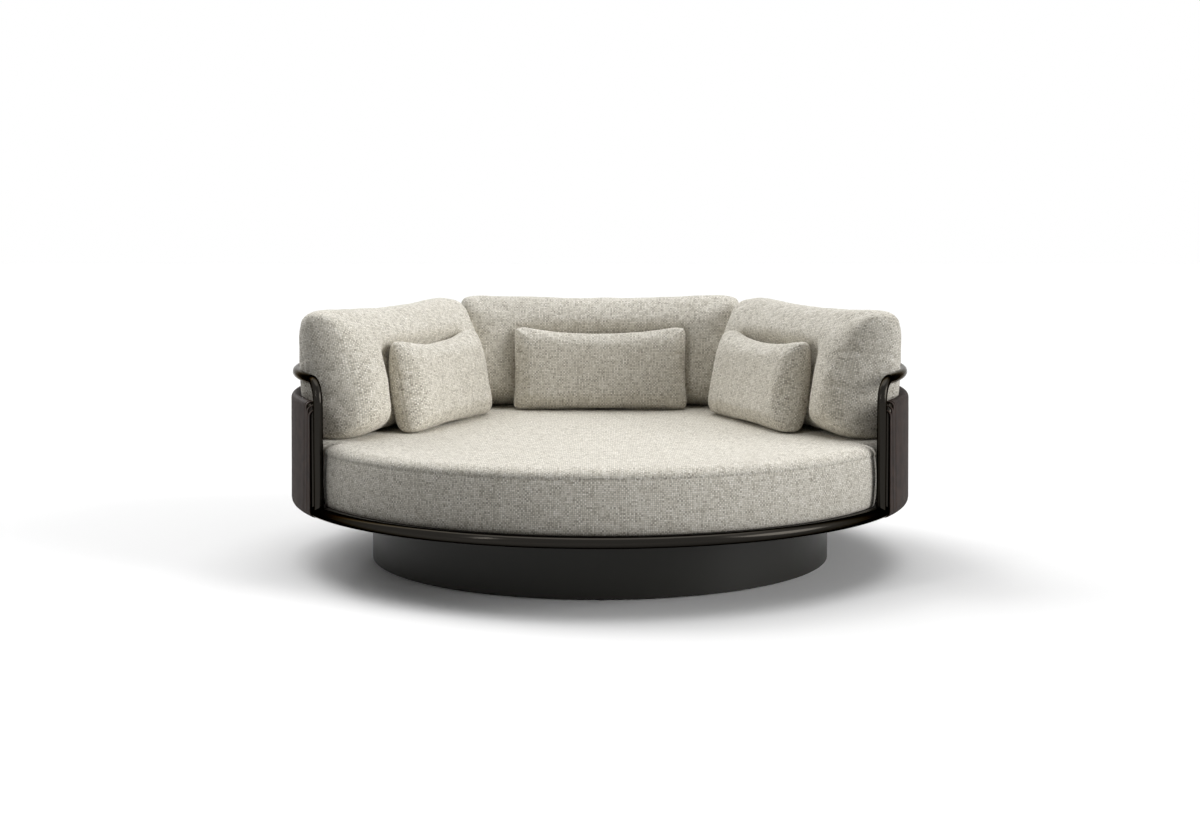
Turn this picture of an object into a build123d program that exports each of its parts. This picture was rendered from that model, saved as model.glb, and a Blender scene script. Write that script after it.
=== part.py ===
from build123d import *

import math
import os

# Round meditation bed, in millimetres, +Z up. Its front is towards -Y, and the origin is on the
# floor under the middle of the plinth.

# Tubes
ring_radius = 981.0  # centreline of the seat ring
ring_tube_radius = 17.0
rail_tube_radius = 14.5
band_tube_radius = 15.0
upright_radius = 10.0
stay_radius = 6.0
spacer_radius = 5.0
tube_wall = 2.0

# Heights of the tubes' centrelines above the seat ring's
rail_rise = 399.0
band_rise = 317.0

# Bends and the places of the posts, angles in degrees in front of the side-to-side axis
post_angle = 30.1
rail_bend_radius = 65.0
band_bend_radius = 32.0
band_gap = 11.0  # from the rail's post to the end of the winding
post_recess = 1.0  # of the band frame's end post inside the winding
upright_count = 5
upright_spread = 160.0  # degrees between the first and the last upright

# Strap wound round the seat ring and the band frame
strap_thickness = 1.0
strap_ease = 0.5

# Plinth
plinth_radius = 743.0
plinth_height = 196.0
skirt_thickness = 3.0
skirt_edge_round = 1.0
flange_width = 60.0
flange_thickness = 5.0
plinth_post_side = 30.0
plinth_post_count = 8
glide_radius = 25.0
glide_thickness = 3.0

# Deck
arm_count = 8
arm_width = 40.0
arm_height = 20.0
arm_wall = 2.5
arm_inner_radius = 62.0
arm_lip = 6.0  # how far short of the ring's centreline an arm ends
hub_radius = 150.0
hub_bolt_radius = 110.0
panel_count = 4
panel_thickness = 8.0
panel_gap = 2.0
panel_corner_radius = 5.0
panel_edge_clearance = 6.0  # from the deck to the seat ring

# Fasteners
bolt_radius = 5.0
bolt_head_radius = 8.5
bolt_head_height = 6.4
bolt_reach = 9.0  # into the arm
bolt_hole_ease = 0.3
screw_radius = 2.5
screw_head_radius = 5.0
screw_length = 16.0
screw_ease = 0.1
screw_offset = 10.0
screw_place_shares = (0.25, 0.6, 0.92)  # of the deck's radius

# Soft pieces
rest_gap = 0.3
cover_thickness = 2.0
cover_ease = 0.4

mattress_radius = 957.0
mattress_height = 188.0
mattress_crown = 6.0
mattress_crown_radius = 400.0
mattress_side_bulge = 4.0
mattress_bottom_round = 14.0
mattress_top_round = 38.0
mattress_seam_drop = 31.0
mattress_seam_depth = 2.5
notch_turn = 2.6  # degrees from the post's place towards the back, so that it clears the band's end too
notch_width = 86.0
notch_depth = 40.0
notch_corner_radius = 14.0
notch_flare_ease = 1.0  # of the round corners' ends, out from the mattress's side

cushion_length = 1031.0
cushion_height = 425.0
cushion_thickness = 256.0
cushion_corner_radius = 62.0
cushion_pull = 7.0
cushion_settle = 13.0
cushion_reach = 700.0  # from the bed's middle to the cushion's
cushion_lean = 11.5
cushion_turn = 70.5  # of a side cushion about the bed's middle
cushion_shift = 93.0  # of a side cushion towards the front
trough_depth = 46.0  # where the pillow presses into the cushion's face
trough_half = 275.0  # from the cushion's middle to where the trough's floor ends
trough_slope = 120.0  # along the cushion, from the floor's end to the face

pillow_length = 630.0
pillow_height = 305.0
pillow_thickness = 118.0
pillow_corner_radius = 16.0
pillow_pull = 11.0
pillow_settle = 7.0
pillow_shift = 32.0  # of a side pillow towards the back, from the middle of its cushion

# Each pair is a section's distance from the middle and how far it is drawn in, as shares of
# half the thickness
cushion_puff_shares = (
    (0, 0), (0.25, 0.1), (0.5, 0.29), (0.72, 0.5), (0.88, 0.72), (0.97, 1.0), (1, 1.25),
)
pillow_puff_shares = (
    (0, 0), (0.22, 0.12), (0.46, 0.36), (0.7, 0.72), (0.88, 1.1), (0.97, 1.45), (1, 1.75),
)

# Of a corner's radius, where a section is drawn in by half the thickness
corner_shrink_share = 0.4

overrun = 60.0

# Heights and places that follow from the sizes above
ring_level = plinth_height + ring_tube_radius
rail_level = ring_level + rail_rise
band_level = ring_level + band_rise
flange_top = plinth_height
flange_outer_radius = plinth_radius - skirt_thickness
flange_middle_radius = flange_outer_radius - flange_width / 2
base_ring_top = glide_thickness + flange_thickness
deck_bottom = plinth_height + arm_height
deck_top = deck_bottom + panel_thickness
deck_radius = ring_radius - ring_tube_radius - panel_edge_clearance
mattress_bottom = deck_top + rest_gap
mattress_top = mattress_bottom + mattress_height
strap_build = strap_thickness + strap_ease

# The posts stand on the ring's centreline, so the rail's arc is a little smaller
rail_radius = math.sqrt(ring_radius**2 - rail_bend_radius**2)
rail_end_angle = post_angle - math.degrees(math.atan2(rail_bend_radius, rail_radius))
band_end_angle = post_angle - math.degrees((rail_tube_radius + band_gap) / ring_radius)
band_post_angle = band_end_angle - math.degrees((band_tube_radius + post_recess) / ring_radius)
band_arc_angle = band_post_angle - math.degrees(math.atan2(band_bend_radius, ring_radius))

arm_angles = [180 / arm_count + 360 / arm_count * number for number in range(arm_count)]
upright_step = upright_spread / (upright_count - 1)
upright_angles = [90 - upright_spread / 2 + upright_step * number for number in range(upright_count)]


def save(piece, name):
    piece.label = name
    export_step(piece, f"parts/{name}.step")


def ring_point(radius, angle, level):
    turn = math.radians(angle)
    return Vector(radius * math.cos(turn), radius * math.sin(turn), level)


def turned_plane(angle, level=0.0):
    # X points outwards at the angle
    return Plane(origin=(0, 0, level), x_dir=ring_point(1, angle, 0), z_dir=(0, 0, 1))


def radial_plane(angle, radius, level):
    # Faces outwards at the angle, with X along the ring and Y up
    along, outwards = ring_point(1, angle + 90, 0), ring_point(1, angle, 0)
    return Plane(origin=ring_point(radius, angle, level), x_dir=along, z_dir=outwards)


# Plinth


def make_plinth():
    skirt_height = plinth_height - glide_thickness
    with BuildPart() as skirt:
        with BuildSketch(Plane.XY.offset(glide_thickness)):
            Circle(plinth_radius)
            Circle(flange_outer_radius, mode=Mode.SUBTRACT)
        extrude(amount=skirt_height)
        outer_edges = skirt.edges().filter_by(GeomType.CIRCLE).group_by(SortBy.RADIUS)[-1]
        fillet(outer_edges, radius=skirt_edge_round)
    save(skirt.part, "plinth_skirt")

    with BuildPart() as base_ring:
        with BuildSketch(Plane.XY.offset(glide_thickness)):
            Circle(flange_outer_radius)
            Circle(flange_outer_radius - flange_width, mode=Mode.SUBTRACT)
        extrude(amount=flange_thickness)
    save(base_ring.part, "plinth_base_ring")

    with BuildPart() as top_ring:
        with BuildSketch(Plane.XY.offset(flange_top)):
            Circle(flange_outer_radius)
            Circle(flange_outer_radius - flange_width, mode=Mode.SUBTRACT)
            with PolarLocations(flange_middle_radius, arm_count, start_angle=arm_angles[0]):
                Circle(bolt_radius + bolt_hole_ease, mode=Mode.SUBTRACT)
        extrude(amount=-flange_thickness)
    save(top_ring.part, "plinth_top_ring")

    for number in range(plinth_post_count):
        with BuildPart() as post:
            with BuildSketch(turned_plane(360 / plinth_post_count * number, base_ring_top)):
                with Locations((flange_middle_radius, 0)):
                    Rectangle(plinth_post_side, plinth_post_side)
                    inner_side = plinth_post_side - 2 * tube_wall
                    Rectangle(inner_side, inner_side, mode=Mode.SUBTRACT)
            extrude(amount=flange_top - flange_thickness - base_ring_top)
        save(post.part, f"plinth_post_{number + 1}")

    with BuildPart() as glides:
        with BuildSketch():
            with PolarLocations(flange_middle_radius, plinth_post_count):
                Circle(glide_radius)
        extrude(amount=glide_thickness)
    save(glides.part, "plinth_glides")


# Deck


def cut_ring_tube():
    # Takes the seat ring's space out of the part being built
    with Locations((0, 0, ring_level)):
        Torus(ring_radius, ring_tube_radius, mode=Mode.SUBTRACT)


def make_seat_ring():
    with BuildPart() as seat_ring:
        with Locations((0, 0, ring_level)):
            Torus(ring_radius, ring_tube_radius)
            Torus(ring_radius, ring_tube_radius - tube_wall, mode=Mode.SUBTRACT)
    save(seat_ring.part, "seat_ring")


def screw_sides(number):
    # Two panels meet on every second arm, so it has a screw on each side
    panels_meet = number % (arm_count // panel_count) == 0
    return (-screw_offset, screw_offset) if panels_meet else (0,)


def make_arms():
    arm_middle = plinth_height + arm_height / 2
    arm_length = ring_radius - arm_lip - arm_inner_radius
    for number, angle in enumerate(arm_angles):
        with BuildPart() as arm:
            with BuildSketch(radial_plane(angle, arm_inner_radius, arm_middle)):
                Rectangle(arm_width, arm_height)
                Rectangle(arm_width - 2 * arm_wall, arm_height - 2 * arm_wall, mode=Mode.SUBTRACT)
            extrude(amount=arm_length)
            cut_ring_tube()
            with BuildSketch(turned_plane(angle, plinth_height)):
                with Locations((flange_middle_radius, 0), (hub_bolt_radius, 0)):
                    Circle(bolt_radius + bolt_hole_ease)
            extrude(amount=arm_wall, mode=Mode.SUBTRACT)
            with BuildSketch(turned_plane(angle, deck_bottom)):
                for share in screw_place_shares:
                    with Locations(*[(deck_radius * share, side) for side in screw_sides(number)]):
                        Circle(screw_radius + screw_ease)
            extrude(amount=-arm_wall, mode=Mode.SUBTRACT)
        save(arm.part, f"deck_arm_{number + 1}")

    with BuildPart() as hub_plate:
        with BuildSketch(Plane.XY.offset(flange_top)):
            Circle(hub_radius)
            with PolarLocations(hub_bolt_radius, arm_count, start_angle=arm_angles[0]):
                Circle(bolt_radius + bolt_hole_ease, mode=Mode.SUBTRACT)
        extrude(amount=-flange_thickness)
    save(hub_plate.part, "hub_plate")


def panel_screw_points():
    # In a panel's own quarter: along both straight edges and along its middle
    middle_turn = math.radians(180 / panel_count)
    points = []
    for share in screw_place_shares:
        reach = deck_radius * share
        points += [(reach, screw_offset), (screw_offset, reach)]
        points.append((reach * math.cos(middle_turn), reach * math.sin(middle_turn)))
    return points


def make_deck_panels():
    sink_radius = screw_head_radius + screw_ease
    for number in range(panel_count):
        plane = turned_plane(arm_angles[0] + 360 / panel_count * number, deck_top)
        with BuildPart() as panel:
            with BuildSketch(plane):
                Circle(deck_radius)
                with Locations((panel_gap / 2, panel_gap / 2)):
                    Rectangle(deck_radius, deck_radius, align=(Align.MIN, Align.MIN), mode=Mode.INTERSECT)
            extrude(amount=-panel_thickness)
            fillet(panel.edges().filter_by(Axis.Z), radius=panel_corner_radius)
            with Locations(plane):
                with Locations(*panel_screw_points()):
                    CounterSinkHole(screw_radius + screw_ease, sink_radius, counter_sink_angle=90)
        save(panel.part, f"deck_panel_{number + 1}")


def make_fasteners():
    head_depth = screw_head_radius - screw_radius
    with BuildPart() as deck_screws:
        with BuildSketch(Plane.XZ) as screw_profile:
            with BuildLine():
                Polyline(
                    (0, deck_top),
                    (screw_head_radius, deck_top),
                    (screw_radius, deck_top - head_depth),
                    (screw_radius, deck_top - screw_length),
                    (0, deck_top - screw_length),
                    close=True,
                )
            make_face()
        screw = revolve(axis=Axis.Z, mode=Mode.PRIVATE)
        for number in range(panel_count):
            with Locations(turned_plane(arm_angles[0] + 360 / panel_count * number)):
                with Locations(*panel_screw_points()):
                    add(screw)
    save(deck_screws.part, "deck_screws")

    bolt_radii = (flange_middle_radius, hub_bolt_radius)
    flange_bottom = flange_top - flange_thickness
    with BuildPart() as arm_bolts:
        for radius in bolt_radii:
            with BuildSketch(Plane.XY.offset(flange_bottom)):
                with PolarLocations(radius, arm_count, start_angle=arm_angles[0]):
                    RegularPolygon(bolt_head_radius, 6)
            extrude(amount=-bolt_head_height)
            with BuildSketch(Plane.XY.offset(flange_bottom)):
                with PolarLocations(radius, arm_count, start_angle=arm_angles[0]):
                    Circle(bolt_radius)
            extrude(amount=flange_thickness + bolt_reach)
    save(arm_bolts.part, "arm_bolts")


# Rails


def bent_rail_path(radius, level, arc_angle, bend_radius):
    # From the foot of the right post, up, round the back and down the left post
    right_end = ring_point(radius, -arc_angle, level)
    left_end = ring_point(radius, 180 + arc_angle, level)
    back = ring_point(radius, 90, level)
    up = Vector(0, 0, 1)
    forward_share, drop_share = math.sin(math.radians(45)), 1 - math.cos(math.radians(45))

    def bend(end, forward):
        middle = end + forward * bend_radius * forward_share - up * bend_radius * drop_share
        return middle, end + forward * bend_radius - up * bend_radius

    right_middle, right_top = bend(right_end, ring_point(1, -arc_angle - 90, 0))
    left_middle, left_top = bend(left_end, ring_point(1, 270 + arc_angle, 0))
    right_half = ring_point(radius, (90 - arc_angle) / 2, level)
    left_half = ring_point(radius, 180 - (90 - arc_angle) / 2, level)
    with BuildLine() as path:
        Line(Vector(right_top.X, right_top.Y, ring_level), right_top)
        ThreePointArc(right_top, right_middle, right_end)
        ThreePointArc(right_end, right_half, back)
        ThreePointArc(back, left_half, left_end)
        ThreePointArc(left_end, left_middle, left_top)
        Line(left_top, Vector(left_top.X, left_top.Y, ring_level))
    return path.wire()


def band_frame_path():
    return bent_rail_path(ring_radius, band_level, band_arc_angle, band_bend_radius)


def make_bent_rail(name, path, tube_radius):
    # Both feet are shaped to the seat ring that they stand on
    foot = Plane(origin=path @ 0, z_dir=(0, 0, 1))
    with BuildPart() as rail:
        with BuildSketch(foot):
            Circle(tube_radius)
        sweep(path=path)
        with BuildSketch(foot):
            Circle(tube_radius - tube_wall)
        sweep(path=path, mode=Mode.SUBTRACT)
        cut_ring_tube()
    save(rail.part, name)


def make_rails():
    rail_path = bent_rail_path(rail_radius, rail_level, rail_end_angle, rail_bend_radius)
    make_bent_rail("back_rail", rail_path, rail_tube_radius)
    make_bent_rail("band_frame", band_frame_path(), band_tube_radius)


def make_uprights():
    for number, angle in enumerate(upright_angles):
        with BuildPart() as upright:
            with BuildSketch(turned_plane(angle, ring_level)):
                with Locations((ring_radius, 0)):
                    Circle(upright_radius)
                    Circle(upright_radius - tube_wall, mode=Mode.SUBTRACT)
            extrude(amount=band_rise)
            cut_ring_tube()
            with Locations((0, 0, band_level)):
                Torus(ring_radius, band_tube_radius, mode=Mode.SUBTRACT)
        save(upright.part, f"band_upright_{number + 1}")

        with BuildPart() as stay:
            with BuildSketch(turned_plane(angle, band_level)):
                with Locations(((ring_radius + rail_radius) / 2, 0)):
                    Circle(stay_radius)
            extrude(amount=rail_level - band_level)
            with Locations((0, 0, band_level)):
                Torus(ring_radius, band_tube_radius, mode=Mode.SUBTRACT)
            with Locations((0, 0, rail_level)):
                Torus(rail_radius, rail_tube_radius, mode=Mode.SUBTRACT)
        save(stay.part, f"rail_stay_{number + 1}")


def make_post_spacers():
    # A pin from the rail's post to the bend of the band frame, half way up the bend
    level = band_level - band_bend_radius / 2
    band_path = band_frame_path()
    for side, post_turn in (("right", -post_angle), ("left", 180 + post_angle)):
        post_centre = ring_point(ring_radius, post_turn, level)
        band_turn = -band_arc_angle if side == "right" else 180 + band_arc_angle
        band_centre = ring_point(ring_radius, band_turn, level)
        reach = (band_centre - post_centre).length
        with BuildPart() as spacer:
            with BuildSketch(Plane(origin=post_centre, z_dir=band_centre - post_centre)):
                Circle(spacer_radius)
            extrude(amount=reach)
            with BuildSketch(Plane(origin=post_centre)):
                Circle(rail_tube_radius)
            extrude(amount=spacer_radius * 2, both=True, mode=Mode.SUBTRACT)
            with BuildSketch(Plane(origin=band_path @ 0, z_dir=(0, 0, 1))):
                Circle(band_tube_radius)
            sweep(path=band_path, mode=Mode.SUBTRACT)
        # What the band frame's bend cuts off on its far side goes
        save(spacer.part.solids().sort_by_distance(post_centre)[0], f"post_spacer_{side}")


# Wound band


def winding_outline(build):
    # The tangent outline round the two tubes, with X outwards and Y up from the seat ring's centre
    lower = ring_tube_radius + build
    upper = band_tube_radius + build
    slope = math.asin((lower - upper) / band_rise)
    run, rise = math.cos(slope), math.sin(slope)
    upper_rise = band_rise + upper * rise
    with BuildLine() as outline:
        Line((lower * run, lower * rise), (upper * run, upper_rise))
        ThreePointArc((upper * run, upper_rise), (0, band_rise + upper), (-upper * run, upper_rise))
        Line((-upper * run, upper_rise), (-lower * run, lower * rise))
        ThreePointArc((-lower * run, lower * rise), (0, -lower), (lower * run, lower * rise))
    return outline.line


def make_winding():
    sweep_angle = 180 + 2 * band_end_angle
    start = turned_plane(-band_end_angle)
    start_point = ring_point(ring_radius, -band_end_angle, ring_level)
    profile_plane = Plane(origin=start_point, x_dir=start.x_dir, z_dir=-start.y_dir)
    corner_radius = band_bend_radius + band_tube_radius + strap_build
    with BuildPart() as winding:
        with BuildSketch(profile_plane):
            add(winding_outline(strap_build))
            make_face()
        revolve(axis=Axis.Z, revolution_arc=sweep_angle)
        with BuildSketch(profile_plane):
            add(winding_outline(strap_ease))
            make_face()
        revolve(axis=Axis.Z, revolution_arc=sweep_angle, mode=Mode.SUBTRACT)
        # The front top corners follow the bends of the band frame
        for side, angle in ((-1, -band_arc_angle), (1, 180 + band_arc_angle)):
            with BuildSketch(radial_plane(angle, ring_radius, band_level - band_bend_radius)):
                Rectangle(overrun, overrun, align=(Align.MIN if side > 0 else Align.MAX, Align.MIN))
                Circle(corner_radius, mode=Mode.SUBTRACT)
            extrude(amount=overrun, both=True, mode=Mode.SUBTRACT)
        # The strap leaves room for each arm and each rail stay
        window_top = deck_bottom + strap_build
        window_bottom = plinth_height - 2 * strap_build
        for angle in arm_angles:
            with BuildSketch(turned_plane(angle, window_bottom)):
                with Locations((ring_radius - arm_lip / 2, 0)):
                    Rectangle(overrun, arm_width + 2 * strap_build, align=(Align.MAX, Align.CENTER))
            extrude(amount=window_top - window_bottom, mode=Mode.SUBTRACT)
        for angle in upright_angles:
            with BuildSketch(turned_plane(angle, band_level)):
                with Locations(((ring_radius + rail_radius) / 2, 0)):
                    Circle(stay_radius + strap_ease)
            extrude(amount=rail_level - band_level, mode=Mode.SUBTRACT)
    save(winding.part, "band_winding")


# Mattress


def notch_outline(shrink):
    # The room for a post, with X outwards, and round outer corners on the mattress
    side = notch_width / 2 + shrink
    flare = side + notch_corner_radius
    inner = mattress_radius - notch_depth - shrink
    edge = math.sqrt((mattress_radius - shrink) ** 2 - flare**2) + notch_flare_ease
    outer = mattress_radius + overrun
    turn = notch_corner_radius * (1 - math.cos(math.radians(45)))
    start = edge - notch_corner_radius
    with BuildLine() as outline:
        Polyline((start, side), (inner, side), (inner, -side), (start, -side))
        ThreePointArc((start, -side), (edge - turn, -side - turn), (edge, -flare))
        Polyline((edge, -flare), (outer, -flare), (outer, flare), (edge, flare))
        ThreePointArc((edge, flare), (edge - turn, side + turn), (start, side))
    return outline.line


def mattress_body(shrink):
    # The mattress, smaller by the same amount on all sides
    radius = mattress_radius - mattress_side_bulge - shrink
    bottom = mattress_bottom + shrink
    top = mattress_top - shrink
    seam = mattress_top - mattress_seam_drop
    inner_turn = 1 - math.cos(math.radians(45))
    bottom_round = mattress_bottom_round
    top_start = seam + mattress_seam_depth
    top_drop = top - top_start
    crown_curve = (mattress_crown_radius**2 + mattress_crown**2) / (2 * mattress_crown)
    crown_half = mattress_crown_radius / 2
    crown_drop = crown_curve - math.sqrt(crown_curve**2 - crown_half**2)
    with BuildPart() as body:
        with BuildSketch(Plane.XZ):
            with BuildLine():
                Line((0, bottom), (radius - bottom_round, bottom))
                ThreePointArc(
                    (radius - bottom_round, bottom),
                    (radius - bottom_round * inner_turn, bottom + bottom_round * inner_turn),
                    (radius, bottom + bottom_round),
                )
                side_middle = (bottom + bottom_round + seam) / 2
                ThreePointArc(
                    (radius, bottom + bottom_round),
                    (radius + mattress_side_bulge, side_middle),
                    (radius, seam - mattress_seam_depth),
                )
                Polyline(
                    (radius, seam - mattress_seam_depth),
                    (radius - mattress_seam_depth, seam),
                    (radius, top_start),
                )
                ThreePointArc(
                    (radius, top_start),
                    (radius - mattress_top_round * inner_turn, top - top_drop * inner_turn),
                    (radius - mattress_top_round, top),
                )
                Line((radius - mattress_top_round, top), (mattress_crown_radius, top))
                ThreePointArc(
                    (mattress_crown_radius, top),
                    (crown_half, top + mattress_crown - crown_drop),
                    (0, top + mattress_crown),
                )
                Line((0, top + mattress_crown), (0, bottom))
            make_face()
        revolve(axis=Axis.Z)
        notch_angle = post_angle - notch_turn
        for angle in (-notch_angle, 180 + notch_angle):
            with BuildSketch(turned_plane(angle, bottom - shrink)) as notch:
                add(notch_outline(shrink))
                make_face()
                fillet(notch.vertices().group_by(Axis.X)[0], radius=notch_corner_radius)
            extrude(amount=mattress_height + mattress_crown, mode=Mode.SUBTRACT)
    return body.part


def make_mattress():
    with BuildPart() as cover:
        add(mattress_body(0))
        add(mattress_body(cover_thickness), mode=Mode.SUBTRACT)
    save(cover.part, "mattress_cover")
    save(mattress_body(cover_thickness + cover_ease), "mattress_core")


# Back cushions and pillows


def cushion_plane(side):
    # Faces the bed's middle and leans back, with X along the piece and Y up along its face
    turn = side * cushion_turn
    outwards = ring_point(1, 90 + turn, 0)
    along = ring_point(1, turn, 0)
    tilt = math.radians(cushion_lean)
    level = mattress_top + cushion_height / 2 * math.cos(tilt) - cushion_settle
    centre = outwards * cushion_reach - along * side * cushion_shift + Vector(0, 0, level)
    return Plane(origin=centre, x_dir=along, z_dir=Vector(0, 0, math.sin(tilt)) - outwards * math.cos(tilt))


def pillow_plane(side):
    # Against the cushion's face, and down along it until the pillow stands on the mattress
    plane = cushion_plane(side)
    tilt = math.radians(cushion_lean)
    level = mattress_top + pillow_height / 2 * math.cos(tilt) - pillow_settle
    face = plane.offset((cushion_thickness + pillow_thickness) / 2 - trough_depth + rest_gap)
    slide = (level - face.origin.Z) / face.y_dir.Z
    centre = face.origin + face.y_dir * slide + face.x_dir * side * pillow_shift
    return Plane(origin=centre, x_dir=face.x_dir, z_dir=face.z_dir)


def soft_outline(length, height, corner, pull):
    # A rectangle with round corners, its sides drawn in between them
    x, y = length / 2, height / 2
    inner = corner * (1 - math.cos(math.radians(45)))
    with BuildLine() as outline:
        ThreePointArc((corner - x, -y), (0, pull - y), (x - corner, -y))
        ThreePointArc((x - corner, -y), (x - inner, inner - y), (x, corner - y))
        ThreePointArc((x, corner - y), (x - pull, 0), (x, y - corner))
        ThreePointArc((x, y - corner), (x - inner, y - inner), (x - corner, y))
        ThreePointArc((x - corner, y), (0, y - pull), (corner - x, y))
        ThreePointArc((corner - x, y), (inner - x, y - inner), (-x, y - corner))
        ThreePointArc((-x, y - corner), (pull - x, 0), (-x, corner - y))
        ThreePointArc((-x, corner - y), (inner - x, inner - y), (corner - x, -y))
    return outline.line


def trough_outline(shrink):
    # What the trough takes away, with X along the cushion and Y out of its face
    face = cushion_thickness / 2
    floor = face - trough_depth - shrink
    end = trough_half + trough_slope
    middle_x, middle_y = trough_half + trough_slope / 2, floor + trough_depth / 2
    with BuildLine() as outline:
        Line((-trough_half, floor), (trough_half, floor))
        foot = TangentArc((trough_half, floor), (middle_x, middle_y), tangent=(1, 0))
        TangentArc(foot @ 1, (end, floor + trough_depth), tangent=foot % 1)
        Line((end, floor + trough_depth), (end, face + overrun))
        Line((end, face + overrun), (-end, face + overrun))
        Line((-end, face + overrun), (-end, floor + trough_depth))
        rise = TangentArc((-trough_half, floor), (-middle_x, middle_y), tangent=(-1, 0))
        TangentArc(rise @ 1, (-end, floor + trough_depth), tangent=rise % 1)
    return outline.line


def soft_body(plane, sizes, puff_shares, shrink):
    # A crowned body, smaller by the same amount on all sides and flat where it rests
    length, height, thickness, corner, pull, troughed = sizes
    half = thickness / 2
    sections = [(-share, inset) for share, inset in reversed(puff_shares[1:])] + list(puff_shares)
    with BuildPart() as body:
        for share, inset in sections:
            drawn_in = 2 * (inset * half + shrink)
            with BuildSketch(plane.offset(share * (half - shrink))):
                tighter = 1 - corner_shrink_share * inset
                add(soft_outline(length - drawn_in, height - drawn_in, corner * tighter, pull * tighter))
                make_face()
        loft()
        if troughed:
            # From the top of the face to its bottom
            with BuildSketch(Plane(origin=plane.origin, x_dir=plane.x_dir, z_dir=-plane.y_dir)):
                add(trough_outline(shrink))
                make_face()
            extrude(amount=cushion_height, both=True, mode=Mode.SUBTRACT)
        split(bisect_by=Plane.XY.offset(mattress_top + rest_gap + shrink), keep=Keep.TOP)
    return body.part


def make_soft_piece(name, plane, sizes, puff_shares):
    with BuildPart() as cover:
        add(soft_body(plane, sizes, puff_shares, 0))
        add(soft_body(plane, sizes, puff_shares, cover_thickness), mode=Mode.SUBTRACT)
    save(cover.part, f"{name}_cover")
    save(soft_body(plane, sizes, puff_shares, cover_thickness + cover_ease), f"{name}_fill")


def make_cushions():
    cushion = (
        cushion_length, cushion_height, cushion_thickness, cushion_corner_radius, cushion_pull, True,
    )
    pillow = (
        pillow_length, pillow_height, pillow_thickness, pillow_corner_radius, pillow_pull, False,
    )
    for place, side in (("left", 1), ("middle", 0), ("right", -1)):
        make_soft_piece(f"back_cushion_{place}", cushion_plane(side), cushion, cushion_puff_shares)
        make_soft_piece(f"pillow_{place}", pillow_plane(side), pillow, pillow_puff_shares)


os.makedirs("parts", exist_ok=True)
make_plinth()
make_seat_ring()
make_arms()
make_deck_panels()
make_fasteners()
make_rails()
make_uprights()
make_post_spacers()
make_winding()
make_mattress()
make_cushions()
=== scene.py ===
import math

import bmesh
import bpy
from mathutils import Matrix, Vector, noise


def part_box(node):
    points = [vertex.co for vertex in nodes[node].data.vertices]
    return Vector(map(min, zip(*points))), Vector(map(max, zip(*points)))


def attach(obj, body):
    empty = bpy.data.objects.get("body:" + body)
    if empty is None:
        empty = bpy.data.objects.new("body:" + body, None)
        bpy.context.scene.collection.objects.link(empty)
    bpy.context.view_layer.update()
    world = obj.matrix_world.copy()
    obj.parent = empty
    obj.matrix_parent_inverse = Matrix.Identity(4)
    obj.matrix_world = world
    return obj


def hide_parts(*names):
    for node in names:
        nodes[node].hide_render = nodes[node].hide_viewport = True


# Round meditation bed: a drum plinth, a tube frame with a strap-wound band, a round mattress,
# three back cushions and three pillows. Metres, +Z up, the open front towards -Y.
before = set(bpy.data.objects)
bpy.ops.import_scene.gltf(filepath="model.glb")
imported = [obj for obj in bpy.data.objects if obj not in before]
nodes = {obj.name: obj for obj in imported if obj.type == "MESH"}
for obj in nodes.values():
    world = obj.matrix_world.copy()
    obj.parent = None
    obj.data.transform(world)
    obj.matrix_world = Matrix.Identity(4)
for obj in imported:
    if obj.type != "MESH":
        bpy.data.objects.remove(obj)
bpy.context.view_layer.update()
scene = bpy.context.scene


def addObject(name, data):
    thing = bpy.data.objects.new(name, data)
    scene.collection.objects.link(thing)
    return thing


def newMesh(name, bm):
    mesh = bpy.data.meshes.new(name)
    bm.to_mesh(mesh)
    bm.free()
    return mesh


def closeUp(bm, distance):
    # Merges the points that meet, then turns every face outwards
    bmesh.ops.remove_doubles(bm, verts=bm.verts, dist=distance)
    bmesh.ops.recalc_face_normals(bm, faces=bm.faces)


def ramp(value, low, high):
    # 0 below low and 1 above high, with a soft start and end
    share = min(1.0, max(0.0, (value - low) / (high - low)))
    return share * share * (3 - 2 * share)


def addNode(tree, kind, settings=None, links=None):
    # Adds a shader node; a setting is one of its inputs, by name or number, or one of its properties
    node = tree.nodes.new(kind)
    for key, value in (settings or {}).items():
        if isinstance(key, int) or key in node.inputs:
            node.inputs[key].default_value = value
        else:
            setattr(node, key, value)
    for key, source in (links or {}).items():
        tree.links.new(source, node.inputs[key])
    return node


def colour(hexValue):
    # sRGB hex to the linear colour that the shaders take
    channels = [int(hexValue[place:place + 2], 16) / 255 for place in (1, 3, 5)]
    linear = [c / 12.92 if c <= 0.04045 else ((c + 0.055) / 1.055) ** 2.4 for c in channels]
    return (*linear, 1.0)


def setShades(node, shades):
    # Marks a colour ramp, from its first shade to its last: position and sRGB hex
    marks = node.color_ramp.elements
    for mark, (position, hexValue) in ((marks[0], shades[0]), (marks[1], shades[-1])):
        mark.position, mark.color = position, colour(hexValue)
    for position, hexValue in shades[1:-1]:
        marks.new(position).color = colour(hexValue)


def newMaterial(name):
    material = bpy.data.materials.new(name)
    material.use_nodes = True
    tree = material.node_tree
    tree.nodes.clear()
    return material, tree


def paint(names, material):
    for name in names:
        mesh = nodes[name].data
        mesh.materials.clear()
        mesh.materials.append(material)


def dressPiece(piece, material, body):
    # Gives a new piece its material, smooth shading and the body that it rides on
    piece.data.materials.clear()
    piece.data.materials.append(material)
    piece.data.shade_smooth()
    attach(piece, body)


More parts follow.
